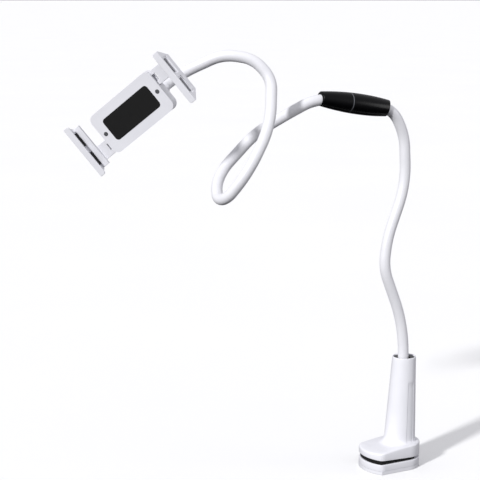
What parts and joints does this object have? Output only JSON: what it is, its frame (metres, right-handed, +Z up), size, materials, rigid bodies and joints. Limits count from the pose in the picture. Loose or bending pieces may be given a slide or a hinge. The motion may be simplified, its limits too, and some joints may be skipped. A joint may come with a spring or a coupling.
{
  "type": "gooseneck phone and tablet holder",
  "caption": "Desk-clamp gooseneck holder: sprung clamp foot with column, flexible neck with hand grip, ball-jointed spring cradle.",
  "frame": {"origin": "underside of the foot, below the middle of the column", "axes": "+Z up along the column; the jaws open toward -X and the arm reaches out in -X"},
  "size_m": [0.4402, 0.1238, 0.5202],
  "materials": {
    "white_plastic": "satin moulded",
    "white_sleeve": "soft satin sleeve",
    "steel_hose": "coiled strip",
    "black_plastic": "satin",
    "grip_black": "satin black",
    "black_rubber": "matt",
    "plated_steel": "bright plated",
    "brass": "turned",
    "grey_nylon": "matt"
  },
  "bodies": {
    "base": {"clamp_housing": "white_plastic", "upper_jaw_pad": "black_rubber", "clamp_spring": "plated_steel", "neck_bushing": "black_plastic", "neck_set_screws": "plated_steel", "column_ferrule": "plated_steel", "lower_neck_sleeve_1": "white_sleeve", "lower_neck_core_1": "steel_hose"},
    "lower_jaw": {"lower_jaw_frame": "white_plastic", "lower_jaw_pad": "black_rubber", "lower_jaw_cover": "white_plastic", "cover_screws": "plated_steel", "clamp_rod": "plated_steel", "rod_washer": "plated_steel", "rod_nut": "plated_steel"},
    "lower_neck_2": {"lower_neck_sleeve_2": "white_sleeve", "lower_neck_core_2": "steel_hose"},
    "lower_neck_3": {"lower_neck_sleeve_3": "white_sleeve", "lower_neck_core_3": "steel_hose"},
    "grip": {"lower_neck_sleeve_4": "white_sleeve", "lower_neck_core_4": "steel_hose", "grip_shell_rear": "grip_black", "grip_shell_front": "grip_black", "grip_ferrule_lower": "plated_steel", "grip_ferrule_upper": "plated_steel", "grip_coupler": "brass", "upper_neck_sleeve_1": "white_sleeve", "upper_neck_core_1": "steel_hose"},
    "upper_neck_2": {"upper_neck_sleeve_2": "white_sleeve", "upper_neck_core_2": "steel_hose"},
    "upper_neck_3": {"upper_neck_sleeve_3": "white_sleeve", "upper_neck_core_3": "steel_hose"},
    "upper_neck_4": {"upper_neck_sleeve_4": "white_sleeve", "upper_neck_core_4": "steel_hose"},
    "upper_neck_5": {"upper_neck_sleeve_5": "white_sleeve", "upper_neck_core_5": "steel_hose"},
    "neck_end": {"upper_neck_sleeve_6": "white_sleeve", "upper_neck_core_6": "steel_hose", "cradle_ferrule": "white_plastic", "ball_stud": "plated_steel"},
    "liner_inner": {"ball_liner_inner": "grey_nylon"},
    "liner_outer": {"ball_liner_outer": "grey_nylon"},
    "cradle": {"cradle_socket_nut": "white_plastic", "cradle_back_shell": "white_plastic", "cradle_front_cover": "white_plastic", "cradle_seat_pad": "black_rubber", "cradle_screws": "plated_steel", "spring_guide_rods": "plated_steel", "arm_spring_left": "plated_steel", "arm_spring_right": "plated_steel"},
    "left_arm": {"arm_left": "white_plastic", "jaw_pad_left": "black_rubber"},
    "right_arm": {"arm_right": "white_plastic", "jaw_pad_right": "black_rubber"}
  },
  "joints": [
    {"name": "clamp_slide", "type": "slide", "parent": "base", "child": "lower_jaw", "axis": [0, 0, -1], "range_m": [0, 0.045], "stiffness_N_per_m": 600, "springref_m": -0.02, "deforming": ["clamp_spring"]},
    {"name": "lower_neck_bend_1", "type": "hinge", "parent": "base", "child": "lower_neck_2", "pos_m": [-0.01725, 0, 0.214], "axis": [0, 1, 0], "range_deg": [-25, 25]},
    {"name": "lower_neck_bend_2", "type": "hinge", "parent": "lower_neck_2", "child": "lower_neck_3", "pos_m": [-0.0155, 0, 0.3195], "axis": [-0.9295, 0, 0.3688], "range_deg": [-25, 25]},
    {"name": "lower_neck_bend_3", "type": "hinge", "parent": "lower_neck_3", "child": "grip", "pos_m": [-0.0045, 0, 0.381], "axis": [0, 1, 0], "range_deg": [-25, 25]},
    {"name": "upper_neck_bend_1", "type": "hinge", "parent": "grip", "child": "upper_neck_2", "pos_m": [-0.185, 0.0135, 0.431], "axis": [0.3196, 0.9233, 0.2131], "range_deg": [-17, 17]},
    {"name": "upper_neck_bend_2", "type": "hinge", "parent": "upper_neck_2", "child": "upper_neck_3", "pos_m": [-0.256, 0.009, 0.3575], "axis": [-0.8627, 0.0208, 0.5053], "range_deg": [-17, 17]},
    {"name": "upper_neck_bend_3", "type": "hinge", "parent": "upper_neck_3", "child": "upper_neck_4", "pos_m": [-0.2255, -0.034, 0.41], "axis": [-0.0535, 0.9948, -0.0862], "range_deg": [-17, 17]},
    {"name": "upper_neck_bend_4", "type": "hinge", "parent": "upper_neck_4", "child": "upper_neck_5", "pos_m": [-0.206, -0.0065, 0.496], "axis": [-0.8087, 0, -0.5882], "range_deg": [-20, 20]},
    {"name": "upper_neck_bend_5", "type": "hinge", "parent": "upper_neck_5", "child": "neck_end", "pos_m": [-0.263, 0.0345, 0.5005], "axis": [0.4834, 0.8301, 0.278], "range_deg": [-20, 20]},
    {"name": "cradle_tilt", "type": "hinge", "parent": "neck_end", "child": "liner_inner", "pos_m": [-0.341, 0.026, 0.458], "axis": [-0.5335, 0.3359, 0.7762], "range_deg": [-45, 8]},
    {"name": "cradle_nod", "type": "hinge", "parent": "liner_inner", "child": "liner_outer", "pos_m": [-0.341, 0.026, 0.458], "axis": [0.4683, -0.6469, 0.6018], "range_deg": [-22, 22]},
    {"name": "cradle_spin", "type": "hinge", "parent": "liner_outer", "child": "cradle", "pos_m": [-0.341, 0.026, 0.458], "axis": [-0.7044, -0.6846, -0.1878], "continuous": true},
    {"name": "left_arm_slide", "type": "slide", "parent": "cradle", "child": "left_arm", "axis": [-0.4683, 0.6469, -0.6018], "range_m": [-0.014, 0.024], "stiffness_N_per_m": 80, "springref_m": -0.03, "deforming": ["arm_spring_left"]},
    {"name": "right_arm_slide", "type": "slide", "parent": "cradle", "child": "right_arm", "axis": [0.4683, -0.6469, 0.6018], "range_m": [-0.014, 0.024], "stiffness_N_per_m": 80, "springref_m": -0.03, "deforming": ["arm_spring_right"]}
  ]
}
